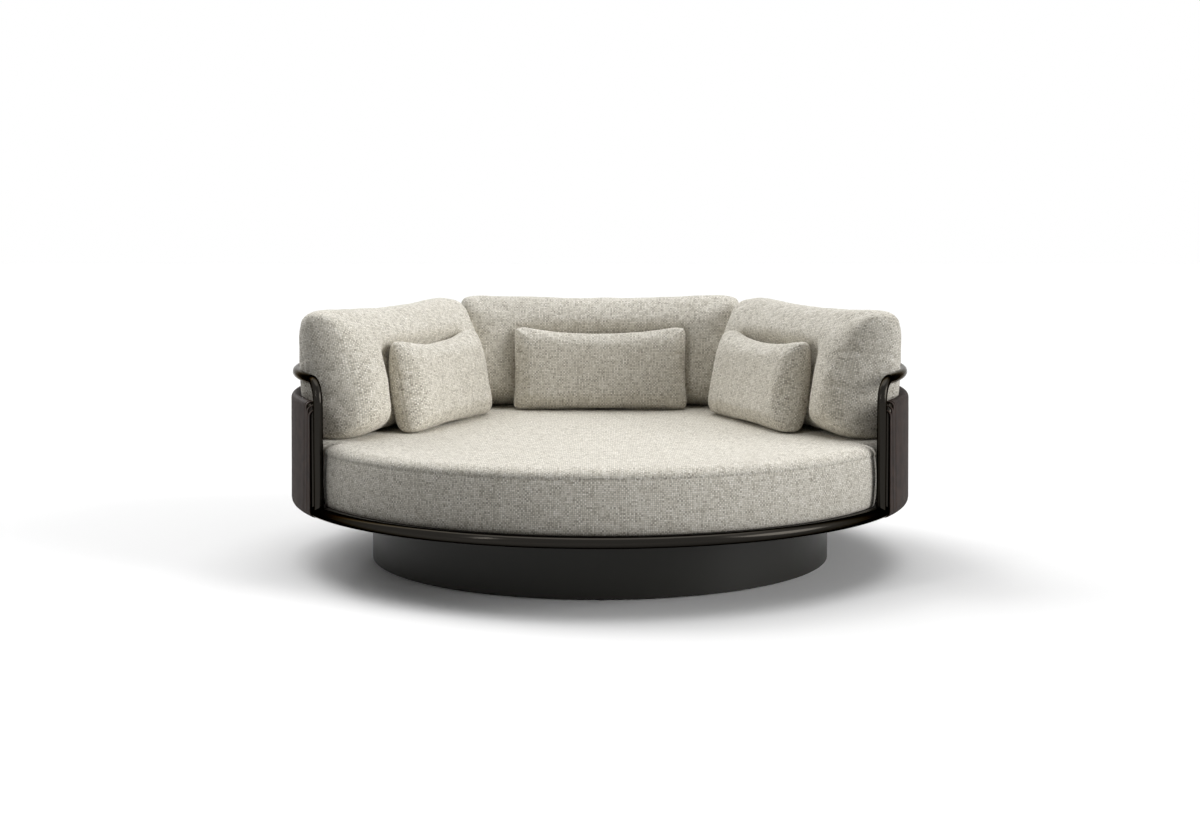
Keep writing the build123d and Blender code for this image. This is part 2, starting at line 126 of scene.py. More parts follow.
# The camera stands where the photograph's did
view = {
    "distance": 5.882,  # from the bed's middle
    "height": 1.134,
    "pitch": 3.37,  # degrees down
    "lens": 54.0,  # millimetres
    "shift": -0.089,
}

camera = addObject("camera", bpy.data.cameras.new("camera"))
camera.location = (0, -view["distance"], view["height"])
camera.rotation_euler = (math.radians(90 - view["pitch"]), 0, 0)
camera.data.lens = view["lens"]
camera.data.shift_y = view["shift"]
scene.camera = camera

studio = {
    "floorSize": 60.0,
    "floorSeen": 0.97,  # what the camera and glossy pieces see of the floor, white away from the shadow
    "floorLit": 0.3,  # what lights the object from below
    "skySeen": 1.0,
    "skyFill": 0.02,
    # Degrees from the front towards the right, degrees up, power, and spread in degrees
    "lamps": {
        "overheadLight": (180.0, 78.0, 1.88, 60.0),
        "rightLight": (70.5, 17.0, 1.74, 34.0),
        "highRightLight": (85.0, 40.0, 0.3, 45.0),
        "backLeftLight": (-135.0, 40.0, 1.3, 40.0),
    },
    # Narrow panels that draw the bright lines on the tubes: place, width, height and power
    "panels": {
        "backLeftPanel": ((-3.5, 4.5, 2.4), 0.35, 0.35, 20.0),
        "frontLeftPanel": ((-2.6, -3.2, 2.2), 0.12, 1.6, 16.0),
        "frontRightPanel": ((3.2, -3.0, 2.2), 0.12, 1.6, 6.0),
    },
    "panelAim": (0, 0, 0.4),  # the point that the panels face
}


def seenRay(tree):
    # 1 for what the camera sees, directly, in a glossy piece or through a clear one
    path = addNode(tree, "ShaderNodeLightPath")
    seen = path.outputs["Is Camera Ray"]
    for ray in ("Is Glossy Ray", "Is Transmission Ray"):
        larger = addNode(
            tree, "ShaderNodeMath", {"operation": "MAXIMUM"}, {0: seen, 1: path.outputs[ray]}
        )
        seen = larger.outputs[0]
    return seen


def mixSeen(tree, output, kind, lit, seen):
    # One shader lights the object, and the other is what the camera sees
    shaders = [addNode(tree, kind, settings).outputs[0] for settings in (lit, seen)]
    mixed = addNode(tree, "ShaderNodeMixShader", links={0: seenRay(tree), 1: shaders[0], 2: shaders[1]})
    addNode(tree, output, links={"Surface": mixed.outputs[0]})


def makeFloor():
    bm = bmesh.new()
    bmesh.ops.create_grid(bm, x_segments=1, y_segments=1, size=studio["floorSize"] / 2)
    floor = addObject("floor", newMesh("floor", bm))
    # Matt white paper: no gloss, white to the eye, and the object's soft shadow on it
    material, tree = newMaterial("studioPaper")
    lit, seen = ({"Color": (*[studio[key]] * 3, 1)} for key in ("floorLit", "floorSeen"))
    mixSeen(tree, "ShaderNodeOutputMaterial", "ShaderNodeBsdfDiffuse", lit, seen)
    floor.data.materials.append(material)


def makeSky():
    world = bpy.data.worlds.new("studio")
    scene.world = world
    world.use_nodes = True
    tree = world.node_tree
    tree.nodes.clear()
    lit, seen = ({"Color": (1, 1, 1, 1), "Strength": studio[key]} for key in ("skyFill", "skySeen"))
    mixSeen(tree, "ShaderNodeOutputWorld", "ShaderNodeBackground", lit, seen)


def addSun(name, turn, rise, power, spread):
    light = bpy.data.lights.new(name, "SUN")
    light.energy = power
    light.angle = math.radians(spread)
    turn, rise = math.radians(turn), math.radians(rise)
    toLamp = Vector((math.sin(turn), -math.cos(turn), math.tan(rise)))
    addObject(name, light).rotation_euler = toLamp.to_track_quat("Z", "Y").to_euler()


def addPanel(name, place, width, height, power):
    light = bpy.data.lights.new(name, "AREA")
    light.shape = "RECTANGLE"
    light.size, light.size_y = width, height
    light.energy = power
    lamp = addObject(name, light)
    lamp.location = place
    toLamp = Vector(place) - Vector(studio["panelAim"])
    lamp.rotation_euler = toLamp.to_track_quat("Z", "Y").to_euler()
    lamp.visible_camera = False


makeFloor()
makeSky()
for panelName, panelValues in studio["panels"].items():
    addPanel(panelName, *panelValues)
for lampName, lampValues in studio["lamps"].items():
    addSun(lampName, *lampValues)
print("camera, floor and light are in place")


# What all the coated, bare and moulded surfaces share
surface = {
    "blotches": 6.0,  # per metre, so about 170 mm across
    "grainStrength": 0.12,
    "grainDepth": 0.0002,
}


def makePlain(name, hexValue, metallic, roughness, grain, mottle, specular=0.5, edge="#ffffff"):
    # A fine grain, in millimetres, and soft blotches that move the roughness by the mottle
    material, tree = newMaterial(name)
    place = addNode(tree, "ShaderNodeTexCoord").outputs["Object"]
    fine = addNode(tree, "ShaderNodeTexNoise", {"Scale": 1000 / grain, "Detail": 3.0}, {"Vector": place})
    broad = addNode(
        tree, "ShaderNodeTexNoise", {"Scale": surface["blotches"], "Detail": 4.0}, {"Vector": place}
    )
    gloss = addNode(
        tree,
        "ShaderNodeMapRange",
        {"To Min": roughness - mottle, "To Max": roughness + mottle},
        {"Value": broad.outputs["Fac"]},
    )
    bump = addNode(
        tree,
        "ShaderNodeBump",
        {"Strength": surface["grainStrength"], "Distance": surface["grainDepth"]},
        {"Height": fine.outputs["Fac"]},
    )
    shader = addNode(
        tree,
        "ShaderNodeBsdfPrincipled",
        {
            "Base Color": colour(hexValue),
            "Metallic": metallic,
            "Specular IOR Level": specular,
            "Specular Tint": colour(edge),
        },
        {"Roughness": gloss.outputs[0], "Normal": bump.outputs[0]},
    )
    addNode(tree, "ShaderNodeOutputMaterial", links={"Surface": shader.outputs[0]})
    return material


# Metallic bronze paint, baked on steel tube: nearly black, with sharp bright lines along it
bronzeTube = makePlain(
    "bronzeMetallicPaint", "#282623", metallic=1.0, roughness=0.16, grain=0.8, mottle=0.03, edge="#8a857c"
)
# Powder coat on steel sheet: near-black satin, with a faint orange peel and one broad soft highlight
plinthPaint = makePlain(
    "powderCoatedSteel", "#24231f", metallic=0.0, roughness=0.42, grain=1.2, mottle=0.05, specular=0.25
)
# A matt black powder coat on the hidden frame: even and dull
innerPaint = makePlain("blackPowderCoat", "#242422", metallic=0.0, roughness=0.6, grain=1.5, mottle=0.05)
# Compact laminate board: dark grey-brown and dull, with a fine even grain
boardLaminate = makePlain("compactLaminate", "#3a3631", metallic=0.0, roughness=0.6, grain=1.0, mottle=0.05)
# Zinc-plated steel: pale grey metal with small soft glints
screwSteel = makePlain("zincPlatedSteel", "#b4b6b8", metallic=1.0, roughness=0.35, grain=0.6, mottle=0.05)
# Moulded rubber: black and dull, with no clear highlight
glideRubber = makePlain("mouldedRubber", "#1c1c1c", metallic=0.0, roughness=0.75, grain=1.0, mottle=0.05)

tubeNodes = ["seat_ring", "back_rail", "band_frame", "post_spacer_left", "post_spacer_right"]
tubeNodes += [name for name in nodes if name.startswith(("band_upright", "rail_stay"))]
innerNodes = ["plinth_base_ring", "plinth_top_ring", "hub_plate"]
innerNodes += [name for name in nodes if name.startswith(("plinth_post", "deck_arm"))]
paint(tubeNodes, bronzeTube)
paint(["plinth_skirt"], plinthPaint)
paint(innerNodes, innerPaint)
paint([name for name in nodes if name.startswith("deck_panel")], boardLaminate)
paint(["deck_screws", "arm_bolts"], screwSteel)
paint(["plinth_glides"], glideRubber)
print("metal, board and rubber are painted")


# The cloth of the mattress, cushions and pillows; lengths in millimetres
weave = {
    "thread": 5.4,  # from one yarn to the next, coarser than real cloth so that it shows
    "slub": 26.0,  # length of a thick stretch of yarn
    "wander": 1.4,  # how far a yarn strays from its line
    "wanderScale": 0.03,  # strays per millimetre
    "yarnApart": 7.31,  # keeps each yarn's shades unlike its neighbour's
    "weftDarker": 0.06,
    "shades": ((0.32, "#b1aa9d"), (0.46, "#e1dccf"), (0.62, "#fffbf2")),
    "valley": 0.54,  # share of the light that reaches the low places between the yarns
    "valleyTop": 0.75,  # height of a yarn from which all the light reaches it
    "bumpStrength": 0.4,
    "bumpDepth": 0.001,  # metres
    "roughness": 0.92,
    "sheen": 0.15,
    "specular": 0.15,
    "faceFirst": 1.7,  # how much a cushion's face is favoured where its sides turn away
}


def makeLinen():
    # Heathered linen and polyester in a plain weave: slubby yarns of mixed shades, matt, a slight sheen, and
    # painted shade in the low places between the yarns
    material, tree = newMaterial("slubWeaveLinen")

    uv = addNode(tree, "ShaderNodeUVMap", {"uv_map": "cloth"}).outputs[0]
    wander = addNode(
        tree, "ShaderNodeTexNoise", {"Scale": weave["wanderScale"], "Detail": 2.0}, {"Vector": uv}
    ).outputs["Color"]
    centred = addNode(
        tree, "ShaderNodeVectorMath", {"operation": "SUBTRACT", 1: (0.5, 0.5, 0.5)}, {0: wander}
    ).outputs[0]
    spread = addNode(
        tree, "ShaderNodeVectorMath", {"operation": "SCALE", "Scale": 2 * weave["wander"]}, {0: centred}
    ).outputs[0]
    moved = addNode(tree, "ShaderNodeVectorMath", {"operation": "ADD"}, {0: uv, 1: spread}).outputs[0]
    parts = addNode(tree, "ShaderNodeSeparateXYZ", links={0: moved})

    def yarns(across, along):
        # Returns the yarn's number, its rounded height across and its own shade along its length
        counted = addNode(
            tree, "ShaderNodeMath", {"operation": "DIVIDE", 1: weave["thread"]}, {0: across}
        ).outputs[0]
        number = addNode(tree, "ShaderNodeMath", {"operation": "FLOOR"}, {0: counted}).outputs[0]
        share = addNode(tree, "ShaderNodeMath", {"operation": "FRACT"}, {0: counted}).outputs[0]
        turn = addNode(tree, "ShaderNodeMath", {"operation": "MULTIPLY", 1: math.pi}, {0: share})
        hump = addNode(tree, "ShaderNodeMath", {"operation": "SINE"}, {0: turn.outputs[0]}).outputs[0]
        length = addNode(
            tree, "ShaderNodeMath", {"operation": "DIVIDE", 1: weave["slub"]}, {0: along}
        ).outputs[0]
        apart = addNode(
            tree, "ShaderNodeMath", {"operation": "MULTIPLY", 1: weave["yarnApart"]}, {0: number}
        ).outputs[0]
        where = addNode(tree, "ShaderNodeCombineXYZ", links={0: apart, 1: length})
        shade = addNode(
            tree,
            "ShaderNodeTexNoise",
            {"Scale": 1.0, "Detail": 4.0, "Roughness": 0.7},
            {"Vector": where.outputs[0]},
        )
        return number, hump, shade.outputs["Fac"]

    warpNumber, warpHump, warpShade = yarns(parts.outputs[0], parts.outputs[1])
    weftNumber, weftHump, weftShade = yarns(parts.outputs[1], parts.outputs[0])
    both = addNode(tree, "ShaderNodeMath", {"operation": "ADD"}, {0: warpNumber, 1: weftNumber})
    over = addNode(
        tree, "ShaderNodeMath", {"operation": "PINGPONG", 1: 1.0}, {0: both.outputs[0]}
    ).outputs[0]
    darkerWeft = addNode(
        tree, "ShaderNodeMath", {"operation": "SUBTRACT", 1: weave["weftDarker"]}, {0: weftShade}
    ).outputs[0]
    height, shade = (
        addNode(tree, "ShaderNodeMix", {"data_type": "FLOAT"}, {0: over, 2: warp, 3: weft}).outputs[0]
        for warp, weft in ((warpHump, weftHump), (warpShade, darkerWeft))
    )
    shades = addNode(tree, "ShaderNodeValToRGB", links={0: shade})
    setShades(shades, weave["shades"])
    # Painted shade: the yarns' colour is darkened towards the low places between them, where less light
    # reaches
    valley = addNode(
        tree,
        "ShaderNodeMapRange",
        {"From Max": weave["valleyTop"], "To Min": weave["valley"]},
        {0: height},
    )
    tone = addNode(
        tree,
        "ShaderNodeMix",
        {"data_type": "RGBA", "blend_type": "MULTIPLY", 0: 1.0},
        {6: shades.outputs[0], 7: valley.outputs[0]},
    )
    bump = addNode(
        tree,
        "ShaderNodeBump",
        {"Strength": weave["bumpStrength"], "Distance": weave["bumpDepth"]},
        {"Height": height},
    )
    shader = addNode(
        tree,
        "ShaderNodeBsdfPrincipled",
        {
            "Roughness": weave["roughness"],
            "Sheen Weight": weave["sheen"],
            "Sheen Roughness": 0.5,
            "Specular IOR Level": weave["specular"],
        },
        {"Base Color": tone.outputs[2], "Normal": bump.outputs[0]},
    )
    addNode(tree, "ShaderNodeOutputMaterial", links={"Surface": shader.outputs[0]})
    return material


linen = makeLinen()


def layCloth(mesh, across, up, out, offset):
    # Lays the weave on a mesh, in millimetres: each face takes the direction that it faces most
    bm = bmesh.new()
    bm.from_mesh(mesh)
    layer = bm.loops.layers.uv.new("cloth")
    for face in bm.faces:
        facing = [abs(face.normal.dot(way)) for way in (out, up, across)]
        facing[0] *= weave["faceFirst"]
        first, second = ((across, up), (across, out), (out, up))[facing.index(max(facing))]
        for loop in face.loops:
            point = loop.vert.co * 1000
            loop[layer].uv = (point.dot(first) + offset[0], point.dot(second) + offset[1])
    bm.to_mesh(mesh)
    bm.free()


# One round pad, sewn below its rounded upper edge and notched for the two posts
mattress = {
    "radius": 0.957,
    "bottom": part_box("mattress_cover")[0].z,
    "top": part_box("mattress_core")[1].z - 0.0036,  # leaves room for the crown
    "undersideRings": (0.3, 0.6, 0.8, 0.9, 0.95),  # shares of the radius
    "crown": 0.006,  # how much higher the middle is than the edge
    "crownRadius": 0.4,
    "bottomRound": 0.014,
    "topRound": 0.042,
    "bulge": 0.004,  # of the side
    "seamDrop": 0.031,  # below the top
    "seamDepth": 0.0028,
    "seamHalf": 0.006,
    "notchTurn": 26.0,  # degrees in front of the side-to-side axis
    "notchDepth": 0.04,
    "notchHalf": 0.035,
    "notchSoft": 0.014,  # width of the rounded edge of the notch
    "notchFrom": (0.6, 0.9),  # distances out between which the notch deepens
    "turns": 512,  # points round the pad
    "bottomSteps": 4,
    "sideSteps": 9,
    "topSteps": 9,
    "crownSteps": 14,
    "drape": 0.75,  # how much longer the cloth over the rounded edge is than seen from above
    "broadWaves": (3.1, 0.0016),  # per metre, and their height
    "fineWaves": (9.0, 0.0007),
}


def mattressProfile():
    # From the middle of the underside, out, up the side and back in over the top
    radius, bottom, top = mattress["radius"] - mattress["bulge"], mattress["bottom"], mattress["top"]
    points = [(0.0, bottom)] + [(radius * share, bottom) for share in mattress["undersideRings"]]
    steps = mattress["bottomSteps"]
    for step in range(steps + 1):
        turn = math.radians(90 * step / steps)
        across = mattress["bottomRound"] * (1 - math.sin(turn))
        points.append((radius - across, bottom + mattress["bottomRound"] * (1 - math.cos(turn))))
    seam, half, depth = top - mattress["seamDrop"], mattress["seamHalf"], mattress["seamDepth"]
    low = bottom + mattress["bottomRound"]
    steps = mattress["sideSteps"]
    for step in range(1, steps):
        share = step / steps
        swell = mattress["bulge"] * 4 * share * (1 - share)
        points.append((radius + swell, low + (seam - half - low) * share))
    points += [(radius, seam - half), (radius - depth / 4, seam - half / 2), (radius - depth, seam)]
    points += [(radius - depth / 4, seam + half / 2), (radius, seam + half)]
    start = seam + half
    steps = mattress["topSteps"]
    for step in range(1, steps + 1):
        turn = math.radians(90 * step / steps)
        across = mattress["topRound"] * (1 - math.cos(turn))
        points.append((radius - across, start + (top - start) * math.sin(turn)))
    edge = radius - mattress["topRound"]
    steps = mattress["crownSteps"]
    for step in range(1, steps + 1):
        reach = edge * (1 - step / steps)
        rise = mattress["crown"] * max(0.0, 1 - (reach / mattress["crownRadius"]) ** 2)
        points.append((reach, top + rise))
    return points


def notchPush(point):
    # How far a point of the mattress is pushed in to clear a post
    push = 0.0
    half, soft = mattress["notchHalf"], mattress["notchSoft"] / 2
    turn = math.radians(mattress["notchTurn"])
    for side in (-1, 1):
        out = Vector((side * math.cos(turn), -math.sin(turn), 0))
        near = ramp(-abs(point.cross(out).z), -half - soft, soft - half)
        push = max(push, mattress["notchDepth"] * near * ramp(point.dot(out), *mattress["notchFrom"]))
    return push


def layMattressCloth(bm):
    # Flat over the top and the underside, and wrapped round the side
    layer = bm.loops.layers.uv.new("cloth")
    edge = mattress["radius"] - mattress["bulge"] - mattress["topRound"]
    seam = mattress["top"] - mattress["seamDrop"]
    under = mattress["bottom"] + 0.004
    for face in bm.faces:
        middle = face.calc_center_median()
        for loop in face.loops:
            point = loop.vert.co
            flat = Vector((point.x, point.y))
            if middle.z > seam:
                past = flat.length > edge
                extra = max(0.0, mattress["top"] - point.z) * mattress["drape"] if past else 0.0
                loop[layer].uv = flat * (1 + extra / max(flat.length, 0.001)) * 1000
            elif middle.z < under:
                loop[layer].uv = flat * 1000
            else:
                turn = math.atan2(point.x, -point.y)
                around = math.atan2(middle.x, -middle.y)
                if abs(turn - around) > math.pi:
                    turn += math.copysign(2 * math.pi, around)
                loop[layer].uv = (turn * mattress["radius"] * 1000, point.z * 1000)


def softenMattress(bm):
    # The notches, and shallow waves in the top and the side
    broad, broadHeight = mattress["broadWaves"]
    fine, fineHeight = mattress["fineWaves"]
    onTop = mattress["top"] - 0.02
    onSide = mattress["bottom"] + mattress["bottomRound"]
    for vert in bm.verts:
        point = vert.co
        push = notchPush(point)
        if push > 0:
            vert.co = point - Vector((point.x, point.y, 0)).normalized() * push
        soft = noise.noise(point * broad) * broadHeight
        soft += noise.noise(point * fine + Vector((7, 3, 1))) * fineHeight
        if point.z > onTop:
            vert.co.z += soft
        elif point.z > onSide:
            vert.co += Vector((point.x, point.y, 0)).normalized() * soft


def makeMattress():
    bm = bmesh.new()
    line = [bm.verts.new((reach, 0, level)) for reach, level in mattressProfile()]
    edges = [bm.edges.new(pair) for pair in zip(line, line[1:])]
    bmesh.ops.spin(
        bm,
        geom=line + edges,
        axis=(0, 0, 1),
        cent=(0, 0, 0),
        angle=2 * math.pi,
        steps=mattress["turns"],
        use_merge=True,
    )
    closeUp(bm, distance=0.00005)
    layMattressCloth(bm)
    softenMattress(bm)
    piece = addObject("mattress", newMesh("mattress", bm))
    dressPiece(piece, linen, "mattress")
    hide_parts("mattress_cover", "mattress_core")


makeMattress()
print("mattress is made")


# A back cushion; levels and lengths are from the middle of its face
cushion = {
    "voxel": 0.009,
    "pressure": 3.0,
    "growth": 0.015,  # how much the cloth may stretch
    "cap": 0.004,  # how far the simulation may move a point
    "lean": 11.5,  # degrees back from upright
    "turn": 70.5,  # degrees between a side cushion and the middle one
    "fill": 0.75,
    "grid": (96, 48),
    "halfLength": 0.5155,
    "halfHeight": 0.2125,
    "thick": 0.128,  # half the thickness
    "squareness": 12.0,  # of the corners seen from the front
    "roundTopFace": 0.18,
    "roundTopBack": 0.125,
    "roundBottom": 0.065,
    "roundEnd": 0.085,
    "topPull": 0.016,  # how far the middle of the top edge is drawn down between the corners
    "sidePull": 0.006,
    "settle": 0.014,  # how far the lower edge is flattened by the weight
    "press": 0.046,  # depth of the hollow where the pillow lies
    "pressTop": (0.03, 0.1),  # levels between which the hollow fades out
    "pressEnd": (0.26, 0.345),
    "bulge": 0.016,  # beside the pillow
    "bulgeAt": 0.415,
    "bulgeHalf": 0.075,
    "bulgeLevel": -0.04,
    "bulgeTall": 0.12,
    "seamOut": -0.066,  # the seam of the back panel, from the middle of the thickness
    "seamHalf": 0.006,
    "seamDepth": 0.004,
    "slack": 0.003,  # height of the broad waves in the cover
    # Folds in the ends: place along as a share of half the length, level, length, half width, depth
    # and tilt in degrees
    "folds": [
        (-1.0, 0.075, 0.15, 0.008, 0.003, -16), (1.0, 0.075, 0.15, 0.008, 0.003, 16),
        (-1.0, -0.06, 0.12, 0.009, 0.0022, 14), (1.0, -0.06, 0.12, 0.009, 0.0022, -14),
    ],
}
# A pillow, described as the cushion is
pillow = {
    "voxel": 0.006,
    "pressure": 3.0,
    "growth": 0.015,
    "cap": 0.005,
    "lean": 11.5,
    "turn": 70.5,
    "fill": 0.7,
    "grid": (80, 44),
    "halfLength": 0.315,
    "halfHeight": 0.1525,
    "thick": 0.06,
    "squareness": 13.0,
    "roundTopFace": 0.078,
    "roundTopBack": 0.078,
    "roundBottom": 0.05,
    "roundEnd": 0.072,
    "topPull": 0.028,
    "sidePull": 0.009,
    "settle": 0.008,
    "seamOut": 0.0,
    "seamHalf": 0.004,
    "seamDepth": 0.002,
    "slack": 0.002,
    "folds": [
        (-1.0, 0.06, 0.13, 0.006, 0.0025, -14), (1.0, 0.06, 0.13, 0.006, 0.0025, 14),
        (-1.0, -0.06, 0.12, 0.006, 0.0025, 15), (1.0, -0.06, 0.12, 0.006, 0.0025, -15),
        (-0.9, 0.12, 0.09, 0.005, 0.002, -38), (0.9, 0.12, 0.09, 0.005, 0.002, 38),
    ],
}
# How both kinds are sewn and filled
sewing = {
    "pullShare": 0.6,  # of topPull goes down in the middle, and the rest goes up at the corners
    "settleTall": 0.08,  # height of the part that the weight flattens
    "railRoom": 0.025,  # depth over which the back eases up to the rail
    "simulationFrames": 20,
    "smoothings": 4,
    "seamEnds": (0.84, 0.95),  # shares of half the length between which the seam starts to show
    "foldReach": 4,  # times its half width, past which a fold ends
    "foldLip": 0.4,  # how high the cloth stands beside a fold, as a share of its depth
    "foldLipWidth": 0.45,
    "broadWaves": 7.0,  # per metre
    "fineWaves": 19.0,
    "fineShare": 0.4,
}


def restFrame(values, side):
    # The directions along a cushion, up its face and out of its face towards the bed's middle
    turn = math.radians(side * values["turn"])
    lean = math.radians(values["lean"])
    outwards = Vector((-math.sin(turn), math.cos(turn), 0))
    across = Vector((math.cos(turn), math.sin(turn), 0))
    face = Vector((0, 0, math.sin(lean))) - outwards * math.cos(lean)
    return across, face.cross(across), face


def softMiddle(node, values, across, up, out):
    # The form's middle, from the CAD solid that it stands for
    points = [vert.co for vert in nodes[node].data.vertices]
    alongs = [point.dot(across) for point in points]
    outs = [point.dot(out) for point in points]
    middle = across * (min(alongs) + max(alongs)) / 2 + out * (min(outs) + max(outs)) / 2
    return middle + up * (max(point.dot(up) for point in points) - values["halfHeight"])


def roundShare(value):
    # The rise of a quarter circle, from the rim to the full thickness
    inside = 1 - min(1.0, max(0.0, value))
    return math.sqrt(1 - inside * inside)


def pillowHollow(values, along, rise, full):
    # A cushion's face: pressed in where the pillow lies, and bulging beside it
    if "press" not in values:
        return full
    pressed = (1 - ramp(rise, *values["pressTop"])) * (1 - ramp(abs(along), *values["pressEnd"]))
    aside = (abs(along) - values["bulgeAt"]) / values["bulgeHalf"]
    above = (rise - values["bulgeLevel"]) / values["bulgeTall"]
    swell = math.exp(-(aside ** 2) - above ** 2)
    hollow = values["press"] * pressed * full / values["thick"]
    return full - hollow + values["bulge"] * swell * full / values["thick"]


def shapePanel(vert, onBack, values, middle, across, up, out):
    # Moves a point of the flat grid, -1 to 1 both ways, to its place on the filled form
    half, tall, power = values["halfLength"], values["halfHeight"], values["squareness"]
    tiny, least = 1e-6, 1e-9
    wide, high = math.sin(vert.co.x * math.pi / 2), math.sin(vert.co.y * math.pi / 2)
    roundTop = values["roundTopBack" if onBack else "roundTopFace"]
    fromEnd = max(0.0, 1 - abs(wide)) * half / values["roundEnd"]
    fromEdge = max(0.0, 1 - abs(high)) * tall / (roundTop if high > 0 else values["roundBottom"])
    full = values["thick"] * roundShare(1 / math.hypot(1 / max(fromEnd, tiny), 1 / max(fromEdge, tiny)))
    spread = max(least, (abs(wide) ** power + abs(high) ** power))
    corner = max(abs(wide), abs(high)) / spread ** (1 / power)
    wide, high = wide * corner, high * corner
    along = wide * (half - values["sidePull"] * (1 - high * high))
    pull = values["topPull"] * max(0.0, high) ** 2 * (wide * wide - sewing["pullShare"])
    rise = high * tall + pull
    depth = -full if onBack else pillowHollow(values, along, rise, full)
    vert.co = middle + across * along + up * rise + out * depth


def makeForm(name, node, values, across, up, out):
    # Two panels of cloth sewn together round the rim and filled, resting on the mattress
    middle = softMiddle(node, values, across, up, out)
    level = min(vert.co.z for vert in nodes[node].data.vertices)
    reach = max(vert.co.xy.length for vert in nodes[node].data.vertices) + 0.001
    tall, room = values["halfHeight"], sewing["railRoom"]
    bm = bmesh.new()
    bmesh.ops.create_grid(bm, x_segments=values["grid"][0], y_segments=values["grid"][1], size=1)
    copy = bmesh.ops.duplicate(bm, geom=bm.verts[:] + bm.edges[:] + bm.faces[:])["geom"]
    backPanel = {item for item in copy if isinstance(item, bmesh.types.BMVert)}
    for vert in bm.verts:
        shapePanel(vert, vert in backPanel, values, middle, across, up, out)
    lowest = min(vert.co.z for vert in bm.verts)
    for vert in bm.verts:
        low = ramp(-(vert.co - middle).dot(up), tall - sewing["settleTall"], tall)
        vert.co.z = max(level, vert.co.z - (lowest - level + values["settle"]) * low)
        past = vert.co.xy.length - reach + room  # the back lies against the rail, and goes no further out
        if past > 0:
            shorter = (reach - room * math.exp(-past / room)) / vert.co.xy.length
            vert.co.x, vert.co.y = vert.co.x * shorter, vert.co.y * shorter
    closeUp(bm, distance=0.00005)
    piece = addObject(name, newMesh(name, bm))
    remesh = piece.modifiers.new("remesh", "REMESH")
    remesh.mode = "VOXEL"
    remesh.voxel_size = values["voxel"]
    applyModifiers(piece)
    return piece, middle


def applyModifiers(piece):
    graph = bpy.context.evaluated_depsgraph_get()
    mesh = bpy.data.meshes.new_from_object(piece.evaluated_get(graph))
    piece.modifiers.clear()
    piece.data = mesh


def puffUp(piece, values):
    # Cloth under pressure, with no point moving further than the cap
    start = [vert.co.copy() for vert in piece.data.vertices]
    cloth = piece.modifiers.new("puff", "CLOTH")
    cloth.settings.use_pressure = True
    cloth.settings.uniform_pressure_force = values["pressure"]
    cloth.settings.effector_weights.gravity = 0
    cloth.settings.shrink_min = -values["growth"]
    cloth.collision_settings.use_collision = False
    for number in range(1, sewing["simulationFrames"] + 1):
        scene.frame_set(number)
    applyModifiers(piece)
    for vert, before in zip(piece.data.vertices, start):
        move = vert.co - before
        if move.length > values["cap"]:
            vert.co = before + move.normalized() * values["cap"]
    scene.frame_set(1)


def finishSoft(piece):
    bm = bmesh.new()
    bm.from_mesh(piece.data)
    for repeat in range(sewing["smoothings"]):
        bmesh.ops.smooth_vert(
            bm, verts=bm.verts, factor=0.5, use_axis_x=True, use_axis_y=True, use_axis_z=True
        )
    bm.to_mesh(piece.data)
    bm.free()
    subdivide = piece.modifiers.new("subdivide", "SUBSURF")
    subdivide.levels = subdivide.render_levels = 1
    applyModifiers(piece)


def foldDent(values, along, rise):
    # How deep the folds are at a point: each is a groove with a low lip on both sides
    dent = 0.0
    for place, level, length, width, deep, tilt in values["folds"]:
        turn = math.radians(tilt)
        run, lift = along - place * values["halfLength"], rise - level
        beside = lift * math.cos(turn) - run * math.sin(turn)
        onward = (run * math.cos(turn) + lift * math.sin(turn)) / length
        if abs(onward) < 1 and abs(beside) < sewing["foldReach"] * width:
            near = beside / width
            lip = sewing["foldLip"] * math.exp(-(near * sewing["foldLipWidth"]) ** 2)
            dent += deep * (math.exp(-near * near) - lip) * (1 - onward * onward) ** 2
    return dent


def dressSoft(mesh, values, middle, across, up, out, seed):
    # A seam round the ends, folds drawn in from the ends and broad waves
    bm = bmesh.new()
    bm.from_mesh(mesh)
    bm.normal_update()
    seamFrom, seamTo = (values["halfLength"] * share for share in sewing["seamEnds"])
    moves = []
    for vert in bm.verts:
        spot = vert.co - middle
        along, rise, depth = spot.dot(across), spot.dot(up), spot.dot(out)
        dent = values["seamDepth"] * math.exp(-(((depth - values["seamOut"]) / values["seamHalf"]) ** 2))
        dent = dent * ramp(abs(along), seamFrom, seamTo) + foldDent(values, along, rise)
        wave = noise.noise(spot * sewing["broadWaves"] + Vector((seed, 3, 1)))
        wave += sewing["fineShare"] * noise.noise(spot * sewing["fineWaves"] + Vector((5, seed, 2)))
        moves.append(vert.normal * (wave * values["slack"] - dent))
    for vert, move in zip(bm.verts, moves):
        vert.co += move
    bm.to_mesh(mesh)
    bm.free()


def makeSoftPiece(kind, values, place, side):
    node = f"{kind}_{place}"
    name = f"{node}_soft"
    across, up, out = restFrame(values, side)
    piece, middle = makeForm(name, f"{node}_fill", values, across, up, out)
    puffUp(piece, values)
    finishSoft(piece)
    dressSoft(piece.data, values, middle, across, up, out, 11 + 7 * side)
    layCloth(piece.data, across, up, out, (137 * side, 61 * side))
    dressPiece(piece, linen, node)
    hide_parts(f"{node}_cover", f"{node}_fill")
    print(name, "is made")


for place, side in (("left", 1), ("middle", 0), ("right", -1)):
    makeSoftPiece("back_cushion", cushion, place, side)
    makeSoftPiece("pillow", pillow, place, side)


